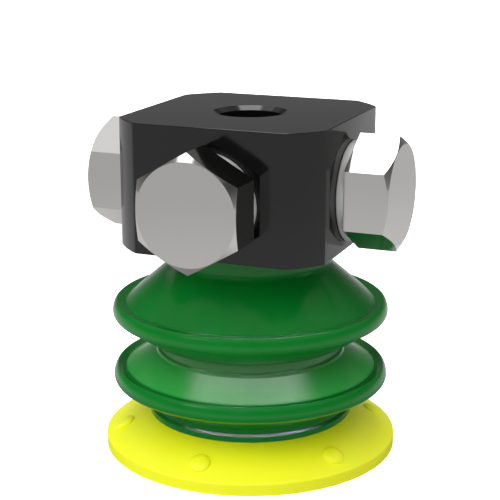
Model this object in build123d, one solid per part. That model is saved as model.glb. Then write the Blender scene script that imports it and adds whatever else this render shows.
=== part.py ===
from build123d import *
import os
from math import cos, radians, sin, tan

# Bellows suction cup on a five-port fitting block, in millimetres. The origin is the
# centre of the lip's sealing face, +Z is up, and the block's sides face along X and Y.

# Sealing lip, the soft ring moulded onto the foot of the bellows
lip_radius = 12.05
lip_edge_height = 0.93
lip_edge_round = 0.15
lip_wall = 1.1
lip_joint_height = 2.85
lip_bump_count = 6
lip_bump_circle_radius = 10.55
lip_bump_radius = 0.92
lip_bump_height = 0.25
lip_bump_root = 0.3

# Bellows, two folds between a foot ring and a thick neck
foot_radius = 8.6
foot_band_height = 0.55
foot_flare_radius = 8.85
throat_radius = 7.2
lower_rim_height = 6.0
fold_pitch = 5.5
rim_radius = 11.33
rim_bead_radius = 0.6
rim_wall = 1.75
fold_wall = 1.1
fold_inside_round = 0.4
lower_underside_slope = 38.5
lower_cone_slope = 26.5
lower_cone_edge_inset = 1.0
lower_cone_edge_rise = 0.73
lower_groove_inset = 0.97
lower_groove_rise = 0.47
upper_underside_slope = 33.0
upper_cone_slope = 41.0
upper_cone_edge_inset = 1.16
upper_cone_edge_rise = 0.8
upper_groove_inset = 1.13
upper_groove_rise = 0.66
waist_radius = 7.4
waist_groove_depth = 0.9
neck_radius = 6.4
neck_root_round = 0.8
neck_length = 1.88
neck_grip_length = 2.85

# Fitting block, cut from square bar with its corners turned off
block_width = 17.1
block_corner_radius = 10.55
block_height = 10.25
side_port_drop = 5.75
air_passage_radius = 1.5

# M5 ports and plug threads, left plain at the thread's pitch diameter
thread_pitch_diameter = 4.48
thread_radial_clearance = 0.02
port_mouth_radius = 2.82

# Barbed spigot under the block, which the neck of the bellows is pushed over
spigot_radius = 3.6
spigot_radial_clearance = 0.02
barb_radius = 4.5
barb_land = 0.35
barb_taper_length = 1.1
barb_tip_radius = 3.3
barb_seat_clearance = 0.05

# Hex-head screw plugs and the flat seals under their heads
plug_across_flats = 8.0
plug_head_height = 3.5
plug_face_radius = 3.95
plug_chamfer_angle = 30.0
plug_thread_length = 4.5
plug_tip_chamfer = 0.4
seal_radius = 4.0
seal_thickness = 0.65
seal_hole_radius = 2.6

# The side ports, by the way their plugs face, in degrees about Z from +X
port_angles = {"right": 0, "back": 90, "left": 180, "front": 270}


def outline(*corners):
    """Closed face in the XZ plane through corners given as (radius, height).

    A corner with a third value is rounded to that radius.
    """
    points = [corner[:2] for corner in corners]
    rounds = [corner[2] if len(corner) == 3 else 0 for corner in corners]
    return make_face(FilletPolyline(*points, radius=rounds, close=True))


def turned(section):
    """Solid of revolution about Z from a section whose outline is (radius, height)."""
    return revolve(Plane.XZ * section, Axis.Z)


def bore(radius, bottom, top):
    """Section of a plain cylinder on the Z axis."""
    return outline((0, bottom), (radius, bottom), (radius, top), (0, top))


class Fold:
    """One fold of the bellows: a cone and an underside that meet at a beaded rim."""

    def __init__(self, rim_height, underside_slope, cone_slope, cone_edge, groove):
        self.rim_height = rim_height
        self.underside_slope = radians(underside_slope)
        self.cone_rise = tan(radians(cone_slope))
        self.cone_edge = cone_edge
        self.groove = groove

    def cone_height(self, radius):
        """Height of the cone at this radius."""
        edge_radius, edge_height = self.above_rim(self.cone_edge)
        return edge_height + (edge_radius - radius) * self.cone_rise

    def underside_height(self, radius):
        """Height of the underside, which runs off the bead at a tangent."""
        bead_drop = rim_bead_radius / cos(self.underside_slope)
        run_in = rim_radius - rim_bead_radius - radius
        return self.rim_height - bead_drop - run_in * tan(self.underside_slope)

    def above_rim(self, inset_and_rise):
        """Point this far inside the rim's edge and above its middle."""
        inset, rise = inset_and_rise
        return rim_radius - inset, self.rim_height + rise

    def rim_corners(self):
        """Outline from the underside through the bead to the edge of the cone."""
        bead_middle_radius = rim_radius - rim_bead_radius
        return [
            (
                bead_middle_radius + rim_bead_radius * sin(self.underside_slope),
                self.rim_height - rim_bead_radius * cos(self.underside_slope),
            ),
            (bead_middle_radius, self.rim_height),
            (bead_middle_radius, self.rim_height + rim_bead_radius),
            self.above_rim(self.groove),
            self.above_rim(self.cone_edge),
        ]

    def bead(self):
        """Section of the round bead along the rim."""
        return Pos(rim_radius - rim_bead_radius, self.rim_height) * Circle(rim_bead_radius)

    def hollow(self):
        """Inside section, which lies one wall over the underside and goes on to the axis."""
        tip_radius = rim_radius - rim_wall
        wall_height = fold_wall / cos(self.underside_slope)
        tip_height = self.underside_height(tip_radius) + wall_height
        return outline(
            (0, self.underside_height(0) + wall_height),
            (tip_radius, tip_height, fold_inside_round),
            (0, tip_height + tip_radius * self.cone_rise),
        )


lower_fold = Fold(
    lower_rim_height,
    lower_underside_slope,
    lower_cone_slope,
    (lower_cone_edge_inset, lower_cone_edge_rise),
    (lower_groove_inset, lower_groove_rise),
)
upper_fold = Fold(
    lower_rim_height + fold_pitch,
    upper_underside_slope,
    upper_cone_slope,
    (upper_cone_edge_inset, upper_cone_edge_rise),
    (upper_groove_inset, upper_groove_rise),
)

# Positions that follow from the sizes above
waist_roof_height = upper_fold.underside_height(waist_radius + waist_groove_depth)
waist_floor_height = lower_fold.cone_height(waist_radius)
cup_height = upper_fold.cone_height(neck_radius) + neck_length
neck_roof_height = cup_height - neck_grip_length
block_top = cup_height + block_height
side_port_height = block_top - side_port_drop
thread_radius = thread_pitch_diameter / 2
plug_seat_distance = block_width / 2 + seal_thickness
lip_fall = (lip_joint_height - lip_edge_height) / (lip_radius - foot_radius)


def bellows_outside():
    """Outer section of the bellows: two folds, with the waist groove cut between them."""
    lower_part = outline(
        (0, lip_joint_height),
        (foot_radius, lip_joint_height),
        (foot_radius, lip_joint_height + foot_band_height),
        (foot_flare_radius, lower_fold.underside_height(foot_flare_radius)),
        *lower_fold.rim_corners(),
        (0, lower_fold.cone_height(0)),
    )
    upper_part = outline(
        (0, upper_fold.underside_height(0)),
        *upper_fold.rim_corners(),
        (neck_radius, upper_fold.cone_height(neck_radius), neck_root_round),
        (neck_radius, cup_height),
        (0, cup_height),
    )
    lower_part &= bore(rim_radius, lip_joint_height, upper_fold.rim_height)
    upper_part &= bore(rim_radius, lower_fold.rim_height, cup_height)
    groove = bore(rim_radius, waist_floor_height, waist_roof_height)
    groove -= bore(waist_radius, waist_floor_height, waist_roof_height)
    return lower_part + lower_fold.bead() + upper_part + upper_fold.bead() - groove


def bellows_inside():
    """Hollow of the bellows, which stays one wall away from the waist groove."""
    lower_part = lower_fold.hollow()
    lower_part &= bore(rim_radius, lip_joint_height, waist_floor_height - fold_wall)
    upper_part = upper_fold.hollow()
    upper_part &= bore(rim_radius, waist_roof_height + fold_wall, neck_roof_height)
    throat = bore(throat_radius, lip_joint_height, lower_fold.rim_height)
    waist = bore(waist_radius - fold_wall, lower_fold.rim_height, upper_fold.rim_height)
    hole = bore(spigot_radius + spigot_radial_clearance, neck_roof_height, cup_height)
    return lower_part + upper_part + throat + waist + hole


def make_bellows():
    """Two-fold bellows with a foot ring below and a thick gripping neck on top."""
    return turned(bellows_outside() - bellows_inside())


def lip_top_height(radius):
    """Height of the lip's sloping top face at this radius."""
    return lip_edge_height + (lip_radius - radius) * lip_fall


def lip_bump():
    """Low domed button, standing along +Z on the lip's face at the origin."""
    dome_radius = (lip_bump_radius ** 2 + lip_bump_height ** 2) / (2 * lip_bump_height)
    dome = RadiusArc((lip_bump_radius, 0), (0, lip_bump_height), -dome_radius)
    root = Polyline(
        (0, lip_bump_height),
        (0, -lip_bump_root),
        (lip_bump_radius, -lip_bump_root),
        (lip_bump_radius, 0),
    )
    return turned(make_face(dome + root))


def make_lip():
    """Flared sealing lip with a ring of buttons on its top face."""
    wall_height = lip_wall * (1 + lip_fall ** 2) ** 0.5
    mouth_radius = lip_radius - (wall_height - lip_edge_height) / lip_fall
    ring = turned(outline(
        (throat_radius, lip_joint_height),
        (foot_radius, lip_joint_height),
        (lip_radius, lip_edge_height, lip_edge_round),
        (lip_radius, 0),
        (mouth_radius, 0),
        (throat_radius, lip_top_height(throat_radius) - wall_height),
    ))
    seat = Plane(
        origin=(lip_bump_circle_radius, 0, lip_top_height(lip_bump_circle_radius)),
        x_dir=(0, 1, 0),
        z_dir=(lip_fall, 0, 1),
    )
    bump = seat * lip_bump()
    first_angle = port_angles["front"]
    for number in range(lip_bump_count):
        ring += Rot(0, 0, first_angle + number * 360 / lip_bump_count) * bump
    return ring


def port_cutter(length):
    """Port drilled from the origin along -Z, with its chamfered mouth at the origin."""
    mouth_chamfer = port_mouth_radius - thread_radius
    return turned(outline(
        (0, 0),
        (port_mouth_radius, 0),
        (thread_radius, -mouth_chamfer),
        (thread_radius, -length),
        (0, -length),
    ))


def make_block():
    """Fitting block with its ports, its air passage and the barbed spigot."""
    bar = Box(block_width, block_width, block_height) & Cylinder(block_corner_radius, block_height)
    block = Pos(0, 0, cup_height + block_height / 2) * bar
    barb_seat = neck_roof_height - barb_seat_clearance
    barb_land_end = barb_seat - barb_land
    spigot_end = barb_land_end - barb_taper_length
    block += turned(outline(
        (0, cup_height),
        (spigot_radius, cup_height),
        (spigot_radius, barb_seat),
        (barb_radius, barb_seat),
        (barb_radius, barb_land_end),
        (barb_tip_radius, spigot_end),
        (0, spigot_end),
    ))
    block -= Pos(0, 0, block_top) * port_cutter(side_port_drop)
    for angle in port_angles.values():
        face = Rot(0, 0, angle) * Pos(block_width / 2, 0, side_port_height) * Rot(0, 90, 0)
        block -= face * port_cutter(block_width / 2)
    passage_length = side_port_height - spigot_end
    block -= Pos(0, 0, spigot_end) * Cylinder(
        air_passage_radius, passage_length, align=(Align.CENTER, Align.CENTER, Align.MIN))
    return block


def make_plug():
    """Hex-head plug along +Z, with the underside of its head at the origin."""
    corner_radius = plug_across_flats / 2 / cos(radians(30))
    head = extrude(RegularPolygon(corner_radius, 6), plug_head_height)
    chamfer_depth = (corner_radius - plug_face_radius) * tan(radians(plug_chamfer_angle))
    head &= turned(outline(
        (0, 0),
        (corner_radius, 0),
        (corner_radius, plug_head_height - chamfer_depth),
        (plug_face_radius, plug_head_height),
        (0, plug_head_height),
    ))
    shank_radius = thread_radius - thread_radial_clearance
    shank = turned(outline(
        (0, 0),
        (shank_radius, 0),
        (shank_radius, plug_tip_chamfer - plug_thread_length),
        (shank_radius - plug_tip_chamfer, -plug_thread_length),
        (0, -plug_thread_length),
    ))
    return head + shank


def make_seal():
    """Flat ring seal, reaching down from the underside of the plug's head."""
    ring = Circle(seal_radius) - Circle(seal_hole_radius)
    return extrude(ring, -seal_thickness)


def at_port(piece, angle):
    """Put a piece that stands along +Z at its seat on one side port."""
    seat = Rot(0, 0, angle) * Pos(plug_seat_distance, 0, side_port_height) * Rot(0, 90, 0)
    return seat * piece


pieces = {
    "fitting_block": make_block(),
    "bellows": make_bellows(),
    "sealing_lip": make_lip(),
}
for side, angle in port_angles.items():
    pieces[side + "_plug"] = at_port(make_plug(), angle)
    pieces[side + "_seal"] = at_port(make_seal(), angle)

os.makedirs("parts", exist_ok=True)
for name, piece in pieces.items():
    export_step(piece, "parts/" + name + ".step")
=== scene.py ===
from math import cos, pi, radians, sin, tan

import bmesh
import bpy
from mathutils import Matrix, Vector


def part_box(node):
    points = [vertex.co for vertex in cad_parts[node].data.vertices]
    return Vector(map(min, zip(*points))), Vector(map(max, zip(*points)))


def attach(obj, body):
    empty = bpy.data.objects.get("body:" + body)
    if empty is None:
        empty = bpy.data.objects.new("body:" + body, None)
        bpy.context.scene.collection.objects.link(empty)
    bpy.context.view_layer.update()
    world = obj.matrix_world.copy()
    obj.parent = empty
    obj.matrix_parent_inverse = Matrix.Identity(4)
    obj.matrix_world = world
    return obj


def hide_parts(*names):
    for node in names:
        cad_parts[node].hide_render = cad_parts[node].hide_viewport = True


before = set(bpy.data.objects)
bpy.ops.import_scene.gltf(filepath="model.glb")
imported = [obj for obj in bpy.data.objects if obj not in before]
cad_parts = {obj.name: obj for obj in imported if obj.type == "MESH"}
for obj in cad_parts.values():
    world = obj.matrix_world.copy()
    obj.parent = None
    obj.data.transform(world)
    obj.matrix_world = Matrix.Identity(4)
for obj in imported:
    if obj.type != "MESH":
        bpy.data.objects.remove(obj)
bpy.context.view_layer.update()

# Camera
# A long lens a little above the block, turned so that the front plug faces it and the
# right plug stands out beside the block. The sensor is as wide as the square frame.
camera_place = (0.04026, -0.09973, 0.04513)
camera_turn = 22.0
camera_tilt = 15.03
lens_length = 97.98
sensor_width = 36.0

lens = bpy.data.cameras.new("camera")
lens.lens = lens_length
lens.sensor_width = sensor_width
lens.clip_start = 0.001
lens.clip_end = 20.0
camera = bpy.data.objects.new("camera", lens)
camera.location = camera_place
camera.rotation_euler = (radians(90 - camera_tilt), 0, radians(camera_turn))
bpy.context.scene.collection.objects.link(camera)
bpy.context.scene.camera = camera


# Fitting block
# Square aluminium bar, turned down at its corners, drilled and tapped on five sides, and
# turned to a barbed spigot below. It is anodised black, which leaves a hard glossy skin.
MM = 0.001
block_low, block_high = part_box("fitting_block")
block_width = (block_high.x - block_low.x) / MM
block_top = block_high.z / MM
spigot_end = block_low.z / MM
block_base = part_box("bellows")[1].z / MM
block_corner_radius = 10.55
block_edge_bevel = 0.05
port_radius = 2.24
port_mouth_radius = 3.0
port_mouth_slope = 33.0
port_relief_depth = 0.9
side_port_height = block_top - 5.75
air_passage_radius = 1.5
air_passage_reach = 0.5
thread_pitch = 0.8
thread_major_radius = 2.5
thread_depth = 0.433
thread_row_height = 0.04
cutter_stand = 0.2
cutter_overrun = 1.0
spigot_radius = 3.6
barb_radius = 4.5
barb_seat = 14.55
barb_land = 0.35
barb_round = 0.08
barb_tip_radius = 3.3
turned_steps = 192
port_steps = 128
sharp_edge_angle = 20.0


def rounded(corners, steps=6):
    """Outline points in mm from (radius, height) corners; a third value rounds a corner."""
    points = []
    for number, corner in enumerate(corners):
        here = Vector(corner[:2])
        if len(corner) == 2:
            points.append(here)
            continue
        before = (Vector(corners[number - 1][:2]) - here).normalized()
        after = (Vector(corners[(number + 1) % len(corners)][:2]) - here).normalized()
        half_angle = before.angle(after) / 2
        middle = here + (before + after).normalized() * corner[2] / sin(half_angle)
        start = here + before * corner[2] / tan(half_angle) - middle
        end = here + after * corner[2] / tan(half_angle) - middle
        sweep = -start.angle_signed(end)
        for step in range(steps + 1):
            points.append(middle + Matrix.Rotation(sweep * step / steps, 2) @ start)
    return points


def turned(corners, closed=False, steps=turned_steps):
    """Spins an outline in mm round the Z axis. An open outline starts and ends on the axis."""
    bm = bmesh.new()
    verts = [bm.verts.new((point[0], 0, point[1])) for point in rounded(corners)]
    first = 0 if closed else 1
    edges = [bm.edges.new((verts[n - 1], verts[n])) for n in range(first, len(verts))]
    bmesh.ops.spin(
        bm, geom=verts + edges, cent=(0, 0, 0), axis=(0, 0, 1), angle=2 * pi, steps=steps,
        use_merge=True)
    bmesh.ops.remove_doubles(bm, verts=bm.verts, dist=1e-5)
    bmesh.ops.recalc_face_normals(bm, faces=bm.faces)
    return bm


def made(name, bm):
    """Object made of a bmesh, still in mm."""
    mesh = bpy.data.meshes.new(name)
    bm.to_mesh(mesh)
    bm.free()
    piece = bpy.data.objects.new(name, mesh)
    bpy.context.scene.collection.objects.link(piece)
    return piece


def combine(piece, operation, tool):
    """Cuts, joins or intersects a piece with a tool object, which is then removed."""
    modifier = piece.modifiers.new("combine", "BOOLEAN")
    modifier.operation = operation
    modifier.object = tool
    bpy.context.view_layer.update()
    worked = piece.evaluated_get(bpy.context.evaluated_depsgraph_get())
    mesh = bpy.data.meshes.new_from_object(worked)
    piece.modifiers.clear()
    piece.data = mesh
    bpy.data.objects.remove(tool)


def finish_piece(piece, material, replaced, crease=25.0):
    """Brings a piece to metres, shades it, and stands it in for its CAD node."""
    piece.data.transform(Matrix.Scale(MM, 4))
    piece.data.shade_smooth()
    piece.data.set_sharp_from_angle(angle=radians(crease))
    piece.data.materials.clear()
    piece.data.materials.append(material)
    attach(piece, "root")
    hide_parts(replaced)


def linear(colour):
    """Linear colour with alpha from an sRGB hex value."""
    levels = [int(colour[n:n + 2], 16) / 255 for n in (1, 3, 5)]
    return tuple(c / 12.92 if c <= 0.04045 else ((c + 0.055) / 1.055) ** 2.4 for c in levels) + (1.0,)


def add_node(tree, kind, inputs=None, **settings):
    """Adds a node with its settings, and sets or links its inputs."""
    node = tree.nodes.new(kind)
    for name, value in settings.items():
        setattr(node, name, value)
    for name, value in (inputs or {}).items():
        if isinstance(value, bpy.types.NodeSocket):
            tree.links.new(value, node.inputs[name])
        else:
            node.inputs[name].default_value = value
    return node


def new_material(name):
    """Material with an empty tree, and its tree."""
    material = bpy.data.materials.new(name)
    material.use_nodes = True
    material.node_tree.nodes.clear()
    return material, material.node_tree


def grain(tree, size, detail=2.0):
    """Noise whose grains are this many mm across, on the piece's own coordinates."""
    place = add_node(tree, "ShaderNodeTexCoord").outputs["Object"]
    return add_node(
        tree, "ShaderNodeTexNoise", {"Vector": place, "Scale": 1 / (size * MM), "Detail": detail}
    ).outputs["Fac"]


def spread(tree, value, low, high):
    """Maps the middle of a noise onto the range from low to high."""
    return add_node(
        tree, "ShaderNodeMapRange",
        {"Value": value, "From Min": 0.3, "From Max": 0.7, "To Min": low, "To Max": high},
    ).outputs["Result"]


def surface(tree, inputs):
    """Principled surface with these inputs, joined to the material's output."""
    shader = add_node(tree, "ShaderNodeBsdfPrincipled", inputs)
    add_node(tree, "ShaderNodeOutputMaterial", {"Surface": shader.outputs["BSDF"]})


def anodised_aluminium():
    """Black anodised aluminium: a sealed oxide skin, glossy, with a faint etched grain."""
    material, tree = new_material("black_anodised_aluminium")
    bump = add_node(
        tree, "ShaderNodeBump", {"Height": grain(tree, 0.12), "Strength": 0.02, "Distance": 0.02 * MM})
    surface(tree, {
        "Base Color": linear("#0c0c0c"),
        "Roughness": spread(tree, grain(tree, 1.5), 0.1, 0.14),
        "IOR": 1.5,
        "Normal": bump.outputs["Normal"],
    })
    return material


def thread_radius(turn, height):
    """Radius of the tapped thread's wall, from its height and the share of a turn."""
    phase = (height / thread_pitch - turn) % 1
    from_root = abs(phase - 0.5) - 1 / 16
    return thread_major_radius - thread_depth * min(max(from_root / (5 / 16), 0), 1)


def tapped_port():
    """Cutter for the open port: a tapped hole with a chamfered mouth."""
    length = block_top - side_port_height
    rows = round(length / thread_row_height)
    wall = [(1, side_port_height + length * row / rows) for row in range(rows + 1)]
    bm = turned([(0, side_port_height), *wall, (0, block_top)], steps=port_steps)
    for vert in bm.verts:
        if vert.co.xy.length > 0.5:  # not the two points on the axis
            turn = (vert.co.xy.angle_signed(Vector((1, 0))) / (2 * pi)) % 1
            depth = block_top - vert.co.z
            mouth_radius = port_mouth_radius - depth / tan(radians(port_mouth_slope))
            relieved = thread_major_radius if depth < port_relief_depth else 0
            radius = max(thread_radius(turn, vert.co.z), mouth_radius, relieved)
            vert.co.xy = vert.co.xy.normalized() * radius
    for vert in bm.verts:
        if vert.co.z > block_top - 0.001:
            vert.co.z += cutter_stand * tan(radians(port_mouth_slope))
            vert.co.xy *= 1 + cutter_stand / port_mouth_radius
    return made("tapped_port", bm)


def side_port(angle):
    """Cutter for a side port, which its plug closes, plain at the thread's pitch diameter."""
    length = block_width / 2
    bm = turned([
        (0, -length),
        (port_radius, -length),
        (port_radius, port_radius - port_mouth_radius),
        (port_mouth_radius + cutter_stand, cutter_stand),
        (0, cutter_stand),
    ])
    seat = Matrix.Translation((length, 0, side_port_height)) @ Matrix.Rotation(radians(90), 4, "Y")
    bm.transform(Matrix.Rotation(radians(angle), 4, "Z") @ seat)
    return made("side_port", bm)


port_angles = {"right": 0, "back": 90, "left": 180, "front": 270}

bar = bmesh.new()
bmesh.ops.create_cube(bar, size=1)
block_height = block_top - block_base
bmesh.ops.scale(bar, verts=bar.verts, vec=(block_width, block_width, block_height))
bmesh.ops.translate(bar, verts=bar.verts, vec=(0, 0, block_base + block_height / 2))
block = made("block", bar)
combine(block, "INTERSECT", made("corner_turning", turned([
    (0, block_base - cutter_overrun),
    (block_corner_radius, block_base - cutter_overrun),
    (block_corner_radius, block_top + cutter_overrun),
    (0, block_top + cutter_overrun),
])))
edged = bmesh.new()
edged.from_mesh(block.data)
bmesh.ops.remove_doubles(edged, verts=edged.verts, dist=1e-4)
sharp = [edge for edge in edged.edges if edge.calc_face_angle(0) > radians(sharp_edge_angle)]
bmesh.ops.bevel(
    edged, geom=sharp, offset=block_edge_bevel, affect="EDGES", segments=2, profile=0.5,
    material=-1)
edged.to_mesh(block.data)
edged.free()
combine(block, "UNION", made("spigot", turned([
    (0, block_base + cutter_overrun),
    (spigot_radius, block_base + cutter_overrun),
    (spigot_radius, barb_seat),
    (barb_radius, barb_seat, barb_round),
    (barb_radius, barb_seat - barb_land, barb_round),
    (barb_tip_radius, spigot_end),
    (0, spigot_end),
])))
combine(block, "DIFFERENCE", tapped_port())
for angle in port_angles.values():
    combine(block, "DIFFERENCE", side_port(angle))
combine(block, "DIFFERENCE", made("air_passage", turned([
    (0, spigot_end - cutter_overrun),
    (air_passage_radius, spigot_end - cutter_overrun),
    (air_passage_radius, side_port_height + air_passage_reach),
    (0, side_port_height + air_passage_reach),
])))
finish_piece(block, anodised_aluminium(), "fitting_block", crease=15.0)


# Screw plugs
# Brass screws with a chamfered hexagon head, turned from hexagon bar and plated with
# bright nickel. They are screwed into the four side ports against their seals.
plug_low, plug_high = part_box("right_plug")
plug_across_flats = (plug_high.y - plug_low.y) / MM
plug_head_height = 3.5
plug_face_radius = 3.95
plug_chamfer_angle = 30.0
plug_shank_radius = 2.22
plug_thread_length = (plug_high.x - plug_low.x) / MM - plug_head_height
plug_seat = plug_high.x / MM - plug_head_height
plug_tip_chamfer = 0.4


def nickel_plate():
    """Bright nickel plate: a smooth, slightly warm mirror with a faint haze."""
    material, tree = new_material("bright_nickel_plate")
    bump = add_node(
        tree, "ShaderNodeBump", {"Height": grain(tree, 0.4), "Strength": 0.01, "Distance": 0.02 * MM})
    surface(tree, {
        "Base Color": linear("#cbc9c6"),
        "Metallic": 1.0,
        "Roughness": spread(tree, grain(tree, 2.0), 0.09, 0.13),
        "Normal": bump.outputs["Normal"],
    })
    return material


def screw_plug(name, angle):
    """Plug with its head's underside on the seal of the port at this angle."""
    corner_radius = plug_across_flats / 2 / cos(radians(30))
    fall = tan(radians(plug_chamfer_angle))
    hexagon = bmesh.new()
    bmesh.ops.create_cone(
        hexagon, cap_ends=True, segments=6, radius1=corner_radius, radius2=corner_radius,
        depth=plug_head_height)
    middle = Matrix.Translation((0, 0, plug_head_height / 2))
    hexagon.transform(middle @ Matrix.Rotation(radians(30), 4, "Z"))
    plug = made(name, hexagon)
    cutter_radius = corner_radius + cutter_overrun
    combine(plug, "INTERSECT", made("head_chamfer", turned([
        (0, -cutter_overrun),
        (cutter_radius, -cutter_overrun),
        (cutter_radius, plug_head_height - (cutter_radius - plug_face_radius) * fall),
        (plug_face_radius, plug_head_height),
        (0, plug_head_height),
    ])))
    combine(plug, "UNION", made("shank", turned([
        (0, cutter_overrun),
        (plug_shank_radius, cutter_overrun),
        (plug_shank_radius, plug_tip_chamfer - plug_thread_length),
        (plug_shank_radius - plug_tip_chamfer, -plug_thread_length),
        (0, -plug_thread_length),
    ])))
    seat = Matrix.Translation((plug_seat, 0, side_port_height)) @ Matrix.Rotation(radians(90), 4, "Y")
    plug.data.transform(Matrix.Rotation(radians(angle), 4, "Z") @ seat)
    return plug


nickel = nickel_plate()
for side, angle in port_angles.items():
    finish_piece(screw_plug(side + "_screw_plug", angle), nickel, side + "_plug")


# Seals
# Flat rings of pale nylon, stamped from sheet, one squeezed between each plug's head and
# the block. Only their rounded outer edge shows.
seal_thickness = plug_seat - block_width / 2
seal_radius = 4.0
seal_hole_radius = 2.6
seal_edge_round = 0.15


def pale_nylon():
    """Natural nylon: milky white, smooth, with a little light inside."""
    material, tree = new_material("natural_nylon")
    surface(tree, {
        "Base Color": linear("#cacac8"),
        "Roughness": spread(tree, grain(tree, 0.6), 0.28, 0.36),
        "Subsurface Weight": 0.1,
        "Subsurface Radius": (0.4, 0.4, 0.4),
        "Subsurface Scale": 1 * MM,
    })
    return material


def seal_ring(name, angle):
    """Seal ring between the block and the plug's head at this angle."""
    bm = turned([
        (seal_hole_radius, -seal_thickness),
        (seal_radius, -seal_thickness, seal_edge_round),
        (seal_radius, 0, seal_edge_round),
        (seal_hole_radius, 0),
    ], closed=True)
    seat = Matrix.Translation((plug_seat, 0, side_port_height)) @ Matrix.Rotation(radians(90), 4, "Y")
    bm.transform(Matrix.Rotation(radians(angle), 4, "Z") @ seat)
    return made(name, bm)


nylon = pale_nylon()
for side, angle in port_angles.items():
    finish_piece(seal_ring(side + "_seal_ring", angle), nylon, side + "_seal")


# Bellows
# Moulded in firm green polyurethane: a neck pushed over the spigot, two folds with a bead
# round each rim, and a foot band that the lip is moulded onto. Its inside is hollow.
bellows_low, bellows_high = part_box("bellows")
rim_radius = bellows_high.x / MM
lip_joint = bellows_low.z / MM
neck_top = bellows_high.z / MM
bead_radius = 0.6
bead_brow_radius = 1.3
bead_brow_angle = 30.0
crest_round = 0.1
foot_radius = 8.4
foot_band_height = 0.43
foot_shoulder = (0.34, 0.12)
throat_radius = 7.2
fold_wall = 1.1
rim_wall = 1.75
fold_inside_round = 0.4
neck_radius = 6.4
neck_root_round = 0.8
neck_grip_length = 2.85
neck_hole_radius = 3.62
waist_radius = 7.4
waist_groove_depth = 0.9
waist_ledge_width = 0.4
waist_ledge_slope = 0.1
waist_ledge_rise = 0.2
waist_round = 0.12
small_round = 0.06
lower_fold = {
    "rim": 6.0, "underside": 30.0, "cone": 26.5,
    "crest": (0.35, 0.86), "groove": (0.97, 0.47), "edge": (1.0, 0.73),
}
upper_fold = {
    "rim": 11.5, "underside": 33.0, "cone": 41.0,
    "crest": (0.35, 0.8), "groove": (1.13, 0.72), "edge": (1.16, 0.8),
}
# Height, painted colour there, and how far that colour shows: painted light on the lower dish in the
# upper fold's shade, and a painted reflection of the floor on the waist and under the upper fold
painted_light_by_height = [
    (6.55, "#30a042", 0.0),
    (6.75, "#30a042", 1.0),
    (8.0, "#30a042", 1.0),
    (8.25, "#5f9a5f", 0.45),
    (9.2, "#5f9a5f", 0.35),
    (9.6, "#5f9a5f", 0.08),
    (12.5, "#5f9a5f", 0.0),
]
bead_inner_radius = 10.35
bead_fade = 0.2


def green_polyurethane():
    """Moulded polyurethane: deep green, smooth, softly glossy, with painted light on the lower dish
    and a painted reflection of the floor on the waist.
    """
    material, tree = new_material("green_polyurethane")
    place = add_node(tree, "ShaderNodeTexCoord").outputs["Object"]
    height = add_node(tree, "ShaderNodeSeparateXYZ", {"Vector": place}).outputs["Z"]
    flat = add_node(tree, "ShaderNodeVectorMath", {0: place, 1: (1, 1, 0)}, operation="MULTIPLY")
    radius = add_node(
        tree, "ShaderNodeVectorMath", {0: flat.outputs["Vector"]}, operation="LENGTH"
    ).outputs["Value"]
    share = add_node(tree, "ShaderNodeMath", {0: height, 1: neck_top * MM}, operation="DIVIDE")
    # A colour ramp by height paints light onto the lower dish and a reflection of the floor onto the
    # waist
    wall = add_node(tree, "ShaderNodeValToRGB", {"Fac": share.outputs["Value"]})
    stops = wall.color_ramp.elements
    stops.remove(stops[1])
    for number, (level, shade, strength) in enumerate(painted_light_by_height):
        stop = stops[0] if number == 0 else stops.new(level / neck_top)
        stop.position = level / neck_top
        stop.color = (*linear(shade)[:3], strength)
    inside_bead = add_node(tree, "ShaderNodeMapRange", {
        "Value": radius, "To Min": 1.0, "To Max": 0.0,
        "From Min": (bead_inner_radius - bead_fade) * MM, "From Max": bead_inner_radius * MM,
    }).outputs["Result"]
    # How far the painted light and the painted reflection show, kept off the beads
    thin = add_node(
        tree, "ShaderNodeMath", {0: wall.outputs["Alpha"], 1: inside_bead}, operation="MULTIPLY")
    cloud = add_node(
        tree, "ShaderNodeMix",
        {"Factor": spread(tree, grain(tree, 4.0), 0.0, 1.0),
         "A": linear("#007221"), "B": linear("#007926")},
        data_type="RGBA")
    colour = add_node(
        tree, "ShaderNodeMix",
        {"Factor": thin.outputs["Value"], "A": cloud.outputs[2], "B": wall.outputs["Color"]},
        data_type="RGBA")
    bump = add_node(
        tree, "ShaderNodeBump", {"Height": grain(tree, 0.5), "Strength": 0.02, "Distance": 0.03 * MM})
    surface(tree, {
        "Base Color": colour.outputs[2],
        "Roughness": spread(tree, grain(tree, 1.2), 0.16, 0.22),
        "IOR": 1.5,
        "Specular IOR Level": 0.35,
        "Normal": bump.outputs["Normal"],
    })
    return material


def cone_height(fold, radius):
    """Height of a fold's cone at this radius."""
    inset, rise = fold["edge"]
    return fold["rim"] + rise + (rim_radius - inset - radius) * tan(radians(fold["cone"]))


def underside_height(fold, radius):
    """Height of a fold's underside, which runs off the bead at a tangent."""
    slope = radians(fold["underside"])
    return fold["rim"] - bead_radius / cos(slope) - (rim_radius - bead_radius - radius) * tan(slope)


def arc(middle, radius, first, last, steps=10):
    """Points along an arc about a middle point, between two angles above the outward axis."""
    angles = [radians(first + (last - first) * step / steps) for step in range(steps + 1)]
    return [(middle[0] + radius * cos(a), middle[1] + radius * sin(a)) for a in angles]


def fold_rim(fold):
    """Outline of a fold's rim: round below, a flatter brow, a tight crest, groove and edge."""
    below = arc((rim_radius - bead_radius, fold["rim"]), bead_radius, fold["underside"] - 90, 0)
    brow = arc((rim_radius - bead_brow_radius, fold["rim"]), bead_brow_radius, 0, bead_brow_angle)
    crest, groove, edge = [
        (rim_radius - fold[part][0], fold["rim"] + fold[part][1])
        for part in ("crest", "groove", "edge")
    ]
    return [*below, *brow[1:], (*crest, crest_round), (*groove, small_round), (*edge, small_round)]


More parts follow.
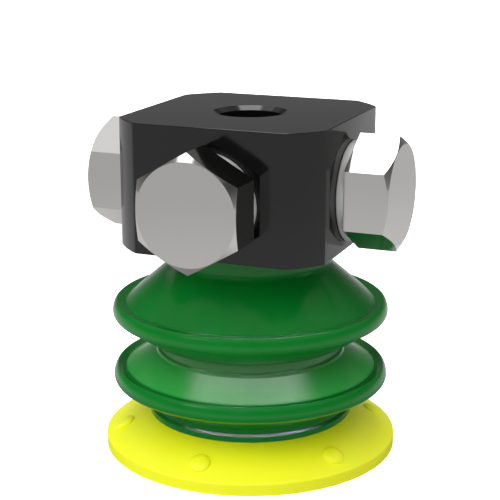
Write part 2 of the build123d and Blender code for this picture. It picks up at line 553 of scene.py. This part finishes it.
def inner_tip(fold):
    """Rounded corner where a fold's inside faces meet, and the height of the upper one."""
    radius = rim_radius - rim_wall
    height = underside_height(fold, radius) + fold_wall / cos(radians(fold["underside"]))
    return radius, height, fold_inside_round


def inner_cone_radius(fold, height):
    """Radius of the inside face under a fold's cone at this height."""
    radius, tip_height, _ = inner_tip(fold)
    return radius - (height - tip_height) / tan(radians(fold["cone"]))


def inner_underside_radius(fold, height):
    """Radius of the inside face over a fold's underside at this height."""
    radius, tip_height, _ = inner_tip(fold)
    return radius - (tip_height - height) / tan(radians(fold["underside"]))


waist_roof = underside_height(upper_fold, waist_radius + waist_groove_depth)
waist_floor = cone_height(lower_fold, waist_radius)
ledge_radius = waist_radius + waist_ledge_width
ledge_foot = cone_height(lower_fold, ledge_radius)
inner_floor = waist_floor - fold_wall
inner_roof = waist_roof + fold_wall
inner_waist_radius = waist_radius - fold_wall
neck_roof = neck_top - neck_grip_length
tip_radius, tip_height, _ = inner_tip(lower_fold)
throat_top = tip_height - (tip_radius - throat_radius) * tan(radians(lower_fold["underside"]))

bellows = made("moulded_bellows", turned([
    (throat_radius, lip_joint),
    (foot_radius, lip_joint),
    (foot_radius, lip_joint + foot_band_height, small_round),
    (foot_radius - foot_shoulder[0], lip_joint + foot_band_height + foot_shoulder[1], small_round),
    (foot_radius - foot_shoulder[0], underside_height(lower_fold, foot_radius - foot_shoulder[0])),
    *fold_rim(lower_fold),
    (ledge_radius, ledge_foot),
    (ledge_radius - waist_ledge_slope, ledge_foot + waist_ledge_rise, small_round),
    (waist_radius, ledge_foot + waist_ledge_rise, waist_round),
    (waist_radius, waist_roof, waist_round),
    (waist_radius + waist_groove_depth, waist_roof, small_round),
    *fold_rim(upper_fold),
    (neck_radius, cone_height(upper_fold, neck_radius), neck_root_round),
    (neck_radius, neck_top),
    (neck_hole_radius, neck_top),
    (neck_hole_radius, neck_roof),
    (inner_cone_radius(upper_fold, neck_roof), neck_roof),
    inner_tip(upper_fold),
    (inner_underside_radius(upper_fold, inner_roof), inner_roof),
    (inner_waist_radius, inner_roof, small_round),
    (inner_waist_radius, inner_floor, small_round),
    (inner_cone_radius(lower_fold, inner_floor), inner_floor),
    inner_tip(lower_fold),
    (throat_radius, throat_top),
], closed=True))
finish_piece(bellows, green_polyurethane(), "bellows")


# Sealing lip
# Moulded onto the foot of the bellows in a softer yellow polyurethane, thin at its edge so
# that it follows the surface it grips. Six low buttons stand on its sloping face.
lip_low, lip_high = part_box("sealing_lip")
lip_radius = lip_high.x / MM
lip_edge_height = 0.93
lip_edge_round = 0.15
lip_wall = 1.1
button_count = 6
button_circle_radius = 10.55
button_radius = 0.92
button_height = 0.32
button_root = 0.03
button_base = 0.2
button_steps = 48
# The dome's outline, in shares of the button's radius and height
button_dome = [(0, 1), (0.4, 0.96), (0.65, 0.84), (0.82, 0.64), (0.93, 0.38)]
lip_fall = (lip_joint - lip_edge_height) / (lip_radius - foot_radius)


def yellow_polyurethane():
    """Soft polyurethane: bright yellow, satin, and a little translucent at its thin edge."""
    material, tree = new_material("yellow_polyurethane")
    colour = add_node(
        tree, "ShaderNodeMix",
        {"Factor": spread(tree, grain(tree, 4.0), 0.0, 1.0),
         "A": linear("#fafd18"), "B": linear("#fdff1c")},
        data_type="RGBA")
    bump = add_node(
        tree, "ShaderNodeBump", {"Height": grain(tree, 0.5), "Strength": 0.02, "Distance": 0.03 * MM})
    surface(tree, {
        "Base Color": colour.outputs[2],
        "Roughness": spread(tree, grain(tree, 1.2), 0.38, 0.46),
        "IOR": 1.5,
        "Normal": bump.outputs["Normal"],
    })
    return material


def add_button(bm, angle):
    """Adds a domed button to the lip's face: a turned cap, bent onto the cone it stands on."""
    cap = turned([
        *[(button_radius * across, button_height * up) for across, up in button_dome],
        (button_radius * 0.96, -button_root),
        (0, -button_base),
    ], steps=button_steps)
    length = (1 + lip_fall ** 2) ** 0.5
    for vert in cap.verts:
        radius = button_circle_radius + vert.co.x / length
        turn = vert.co.y / button_circle_radius
        height = lip_edge_height + (lip_radius - radius) * lip_fall
        radius += vert.co.z * lip_fall / length
        height += vert.co.z / length
        vert.co = (radius * cos(turn), radius * sin(turn), height)
    cap.transform(Matrix.Rotation(radians(angle), 4, "Z"))
    shape = bpy.data.meshes.new("button")
    cap.to_mesh(shape)
    cap.free()
    bm.from_mesh(shape)
    bpy.data.meshes.remove(shape)


wall_height = lip_wall * (1 + lip_fall ** 2) ** 0.5
mouth_radius = lip_radius - (wall_height - lip_edge_height) / lip_fall
lip_shape = turned([
    (throat_radius, lip_joint),
    (foot_radius, lip_joint),
    (lip_radius, lip_edge_height, lip_edge_round),
    (lip_radius, 0),
    (mouth_radius, 0),
    (throat_radius, lip_edge_height + (lip_radius - throat_radius) * lip_fall - wall_height),
], closed=True)
for number in range(button_count):
    add_button(lip_shape, port_angles["front"] + number * 360 / button_count)
lip = made("moulded_lip", lip_shape)
finish_piece(lip, yellow_polyurethane(), "sealing_lip")


# Floor, background and light
# A pale floor that the camera sees as white, with the cup's shadow on it. Soft light comes
# from the camera's side and overhead, and softboxes behind the cup and beside it give the
# metal and the bellows their shine, in a dim room all round.
floor_size = 6.0
room_level = 0.45
camera_white = (1.9, 1.9, 1.9, 1.0)
lamp_distance = 0.6


def either(tree, one, other):
    """The larger of two values."""
    return add_node(tree, "ShaderNodeMath", {0: one, 1: other}, operation="MAXIMUM").outputs[0]


def pale_floor():
    """Matt pale paper, white to the camera. Mirrored, it is a pool of light round a soft shadow."""
    material, tree = new_material("pale_paper")
    path = add_node(tree, "ShaderNodeLightPath").outputs
    colour = add_node(
        tree, "ShaderNodeMix",
        {"Factor": path["Is Camera Ray"], "A": linear("#d2d2d2"), "B": camera_white},
        data_type="RGBA")
    paper = add_node(tree, "ShaderNodeBsdfDiffuse", {"Color": colour.outputs[2]})
    place = add_node(tree, "ShaderNodeTexCoord").outputs["Object"]
    away = add_node(tree, "ShaderNodeVectorMath", {0: place}, operation="LENGTH").outputs["Value"]
    pool = add_node(tree, "ShaderNodeMapRange", {
        "Value": away, "From Min": 0.02, "From Max": 0.11, "To Min": 0.88, "To Max": 0.6})
    shadow = add_node(tree, "ShaderNodeMapRange", {
        "Value": away, "From Min": 0.012, "From Max": 0.036, "To Min": 0.15, "To Max": 1.0})
    seen_pool = add_node(
        tree, "ShaderNodeMath", {0: pool.outputs["Result"], 1: shadow.outputs["Result"]},
        operation="MULTIPLY")
    white = add_node(tree, "ShaderNodeEmission", {
        "Strength": either(tree, seen_pool.outputs["Value"], path["Is Transmission Ray"])})
    seen = either(tree, path["Is Glossy Ray"], path["Is Transmission Ray"])
    lit = add_node(
        tree, "ShaderNodeMixShader",
        {0: seen, 1: paper.outputs["BSDF"], 2: white.outputs["Emission"]})
    under = add_node(tree, "ShaderNodeNewGeometry").outputs["Backfacing"]
    clear = add_node(tree, "ShaderNodeBsdfTransparent").outputs["BSDF"]
    open_below = add_node(
        tree, "ShaderNodeMixShader", {0: under, 1: lit.outputs["Shader"], 2: clear})
    add_node(tree, "ShaderNodeOutputMaterial", {"Surface": open_below.outputs["Shader"]})
    return material


def soft_lamp(name, turn, height, size, level, mirrored=True):
    """Softbox, this wide and high, that faces the cup; level 1 is as bright as white paper."""
    lamp = bpy.data.lights.new(name, "AREA")
    lamp.shape = "RECTANGLE"
    lamp.size, lamp.size_y = size
    lamp.energy = level * pi * size[0] * size[1]
    away = Vector((
        sin(radians(turn)) * cos(radians(height)),
        -cos(radians(turn)) * cos(radians(height)),
        sin(radians(height)),
    ))
    box = bpy.data.objects.new(name, lamp)
    box.location = Vector((0, 0, block_top / 2 * MM)) + away * lamp_distance
    box.rotation_euler = away.to_track_quat("Z", "Y").to_euler()
    box.visible_glossy = mirrored
    bpy.context.scene.collection.objects.link(box)
    return box


ground = bmesh.new()
bmesh.ops.create_grid(ground, x_segments=1, y_segments=1, size=floor_size / 2)
floor_piece = made("floor", ground)
floor_piece.data.materials.append(pale_floor())

soft_lamp("back_softbox", turn=202, height=68, size=(0.26, 0.26), level=4.0)
soft_lamp("left_softbox", turn=240, height=58, size=(0.2, 0.2), level=0.7)
soft_lamp("front_softbox", turn=-32, height=40, size=(0.16, 0.16), level=2.2)
soft_lamp("key_softbox", turn=0, height=50, size=(0.7, 0.7), level=1.05, mirrored=False)
soft_lamp("side_softbox", turn=-40, height=34, size=(0.5, 0.5), level=1.2, mirrored=False)
soft_lamp("top_softbox", turn=95, height=78, size=(1.2, 1.2), level=0.4, mirrored=False)

# This softbox gives the bellows alone their shine, which the upper fold doesn't keep off the
# lower one. It casts no shadow and lights nothing.
shine = soft_lamp("shine_softbox", turn=203, height=64.5, size=(0.44, 0.32), level=5.4)
shine.visible_diffuse = False
shine.data.use_shadow = False
shine.data.cycles.use_multiple_importance_sampling = False
shine_on = bpy.data.collections.new("shine_on")
shine_on.objects.link(bellows)
shine.light_linking.receiver_collection = shine_on

world = bpy.data.worlds.new("room")
world.use_nodes = True
bpy.context.scene.world = world
room_tree = world.node_tree
room_tree.nodes.clear()
path = add_node(room_tree, "ShaderNodeLightPath").outputs
sky = add_node(room_tree, "ShaderNodeTexCoord").outputs["Generated"]
up = add_node(room_tree, "ShaderNodeSeparateXYZ", {"Vector": sky}).outputs["Z"]
walls = add_node(room_tree, "ShaderNodeMapRange", {
    "Value": up, "From Min": 0.0, "From Max": 0.3, "To Min": 0.3, "To Max": 0.08})
ceiling = add_node(room_tree, "ShaderNodeMapRange", {
    "Value": up, "From Min": 0.35, "From Max": 0.65, "To Min": 0.0, "To Max": 0.36})
mirrored_room = add_node(room_tree, "ShaderNodeMix", {
    "Factor": path["Is Glossy Ray"], "A": room_level,
    "B": either(room_tree, walls.outputs["Result"], ceiling.outputs["Result"])})
strength = add_node(room_tree, "ShaderNodeMix", {
    "Factor": either(room_tree, path["Is Camera Ray"], path["Is Transmission Ray"]),
    "A": mirrored_room.outputs[0], "B": 1.0})
room = add_node(
    room_tree, "ShaderNodeBackground",
    {"Color": (1.0, 1.0, 1.0, 1.0), "Strength": strength.outputs[0]})
add_node(room_tree, "ShaderNodeOutputWorld", {"Surface": room.outputs["Background"]})
bpy.context.scene.view_settings.view_transform = "Standard"
